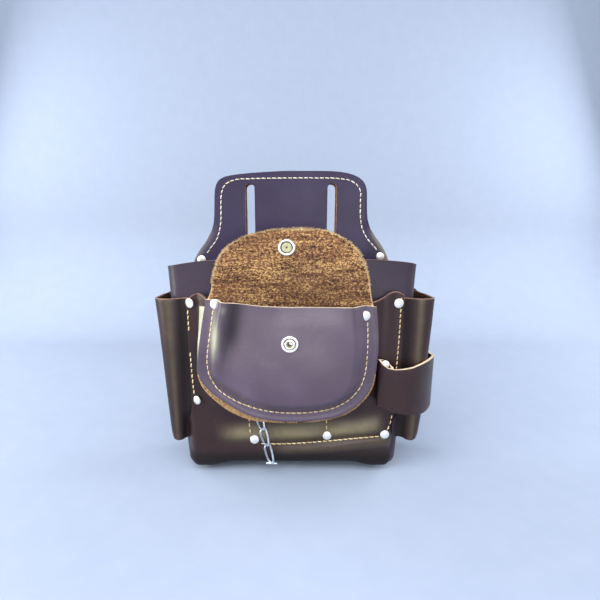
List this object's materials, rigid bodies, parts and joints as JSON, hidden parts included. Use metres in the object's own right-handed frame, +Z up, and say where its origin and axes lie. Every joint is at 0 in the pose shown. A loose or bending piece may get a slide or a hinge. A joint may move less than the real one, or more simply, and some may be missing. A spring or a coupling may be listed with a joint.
{
  "type": "tool pouch",
  "caption": "Leather electrician's belt pouch with a tall bag, side tool sleeves, outer tool slots, a snap-flap pocket, a strap loop and a hanging tape chain.",
  "frame": {"origin": "midway between the two belt slots, on the rear face of the back panel", "axes": "+Z up as worn, +Y towards the wearer, +X to the right seen from the front"},
  "size_m": [0.2711, 0.0986, 0.305],
  "materials": {
    "leather": "oiled full-grain leather, dark brown, satin",
    "yoke_leather": "oiled full-grain leather, near black brown, satin",
    "pocket_leather": "oiled full-grain leather, dark brown with a waxed sheen",
    "suede": "rough flesh side, matt brown suede",
    "nickel": "bright nickel plate",
    "chain_steel": "zinc-plated steel wire"
  },
  "bodies": {
    "root": {"back_panel": "yoke_leather", "yoke": "yoke_leather", "main_bag": "leather", "tool_panel": "leather", "left_sleeve": "leather", "right_sleeve": "leather", "pocket_back": "pocket_leather", "pocket_front": "pocket_leather", "snap_stud": "nickel", "snap_post": "nickel", "tape_loop": "leather", "chain_tab": "chain_steel", "shoulder_rivets": "nickel", "seam_rivets": "nickel", "hem_rivets": "nickel", "pocket_rivets": "nickel", "loop_rivets": "nickel", "chain_rivet": "nickel", "rivet_backs": "nickel"},
    "flap_fold": {"flap_fold": "suede"},
    "flap": {"flap": "suede", "snap_cap": "nickel", "snap_socket": "nickel"},
    "chain_link_1": {"chain_link_1": "chain_steel"},
    "chain_link_2": {"chain_link_2": "chain_steel"},
    "chain_link_3": {"chain_link_3": "chain_steel"},
    "chain_bar": {"chain_bar": "chain_steel"}
  },
  "joints": [
    {"name": "flap_fold_hinge", "type": "hinge", "parent": "root", "child": "flap_fold", "pos_m": [0, -0.0803, -0.0765], "axis": [1, 0, 0], "range_deg": [0, 79.88]},
    {"name": "flap_tip_hinge", "type": "hinge", "parent": "flap_fold", "child": "flap", "pos_m": [0, -0.0803, -0.0572], "axis": [1, 0, 0], "range_deg": [0, 124.23]},
    {"name": "chain_link_1_swing", "type": "hinge", "parent": "root", "child": "chain_link_1", "pos_m": [-0.0365, -0.0685, -0.16758], "axis": [0, 1, 0], "range_deg": [-6, 30]},
    {"name": "chain_link_2_swing", "type": "hinge", "parent": "chain_link_1", "child": "chain_link_2", "pos_m": [-0.03211, -0.0685, -0.18657], "axis": [-0.9744, 0, -0.225], "range_deg": [0, 25]},
    {"name": "chain_link_3_swing", "type": "hinge", "parent": "chain_link_2", "child": "chain_link_3", "pos_m": [-0.02811, -0.0685, -0.20392], "axis": [0, 1, 0], "range_deg": [-20, 20]},
    {"name": "chain_bar_swing", "type": "hinge", "parent": "chain_link_3", "child": "chain_bar", "pos_m": [-0.02411, -0.0685, -0.22126], "axis": [-0.9744, 0, -0.225], "range_deg": [0, 30]}
  ],
  "couplings": [
    {"joint": "flap_tip_hinge", "follows": "flap_fold_hinge", "ratio": 1.555}
  ]
}
